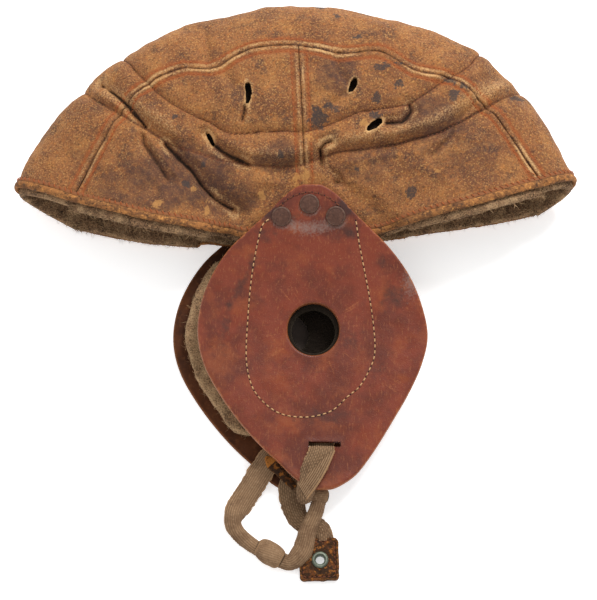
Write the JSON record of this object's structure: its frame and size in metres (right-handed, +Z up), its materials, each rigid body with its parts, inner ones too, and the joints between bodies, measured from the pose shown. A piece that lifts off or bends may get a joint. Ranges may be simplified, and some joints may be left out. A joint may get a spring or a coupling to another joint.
{
  "type": "leather football helmet",
  "caption": "Old soft leather sports helmet lying flat on its side, with a felt-lined panelled crown, rivetted ear flaps and a knotted webbing chin strap.",
  "frame": {"origin": "on the surface that the helmet lies on, under the middle of its bounding box", "axes": "+Z up out of the surface and out of the helmet's left side, +X from brow to nape, +Y from the ear flaps' tips to the top of the crown"},
  "size_m": [0.289, 0.2942, 0.0571],
  "materials": {
    "crown_leather": "worn, mottled suede-like leather with dark stains and pale rubbed seams",
    "binding_leather": "rubbed orange-tan leather strip",
    "felt": "thick grey-brown wool felt, matted",
    "flap_leather": "smooth reddish brown harness leather, waxed and scuffed",
    "rivet_metal": "dull brown lacquered rivet heads",
    "webbing": "ribbed tan elastic webbing",
    "tab_leather": "cracked dark leather with tan showing through",
    "eyelet_brass": "tarnished green-grey brass"
  },
  "bodies": {
    "root": {"centre_band": "crown_leather", "left_front_panel": "crown_leather", "left_back_panel": "crown_leather", "right_front_panel": "crown_leather", "right_back_panel": "crown_leather", "felt_lining_left": "felt", "felt_lining_right": "felt", "rim_binding": "binding_leather", "left_ear_flap": "flap_leather", "left_flap_pad": "felt", "left_rivet_1": "rivet_metal", "left_rivet_2": "rivet_metal", "left_rivet_3": "rivet_metal", "right_ear_flap": "flap_leather", "right_flap_pad": "felt", "right_rivet_1": "rivet_metal", "right_rivet_2": "rivet_metal", "right_rivet_3": "rivet_metal", "slot_strap_knot": "webbing", "chin_strap_knot": "webbing", "slot_strap": "webbing", "chin_strap_aft": "webbing", "chin_strap_fore": "webbing", "tab_strap": "webbing", "anchor_strip": "tab_leather", "leather_tab": "tab_leather", "tab_eyelet": "eyelet_brass"}
  },
  "joints": []
}
